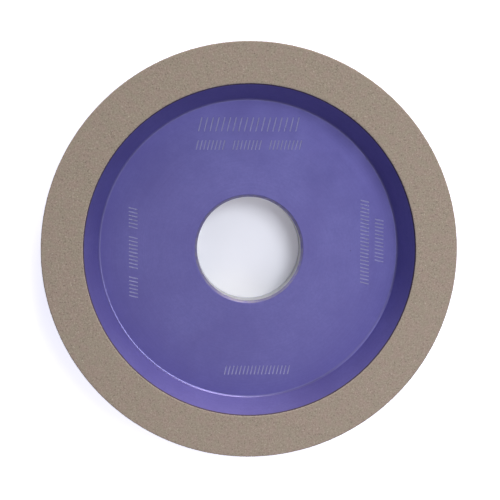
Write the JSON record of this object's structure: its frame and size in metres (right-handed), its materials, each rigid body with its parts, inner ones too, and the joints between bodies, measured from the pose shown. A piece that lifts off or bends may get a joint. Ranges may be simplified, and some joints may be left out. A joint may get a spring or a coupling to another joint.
{
  "type": "diamond grinding wheel",
  "caption": "Plain cup grinding wheel: turned aluminium body with a bore and a recessed web, and a flat ring of resin-bonded diamond abrasive round its face.",
  "frame": {"origin": "centre of the bore in the plane of the back face, which is the lowest plane of the wheel", "axes": "+Z along the bore axis from the back face to the working face; +X and +Y across the wheel, with the widest row of engraved strokes on the +Y side"},
  "size_m": [0.125, 0.125, 0.02],
  "materials": {
    "coated_aluminium": "satin",
    "cured_adhesive": "satin",
    "filled_resin": "matte",
    "diamond_abrasive": "matte"
  },
  "bodies": {
    "root": {"wheel_body": "coated_aluminium", "adhesive_film": "cured_adhesive", "backing_ring": "filled_resin", "diamond_layer": "diamond_abrasive"}
  },
  "joints": []
}
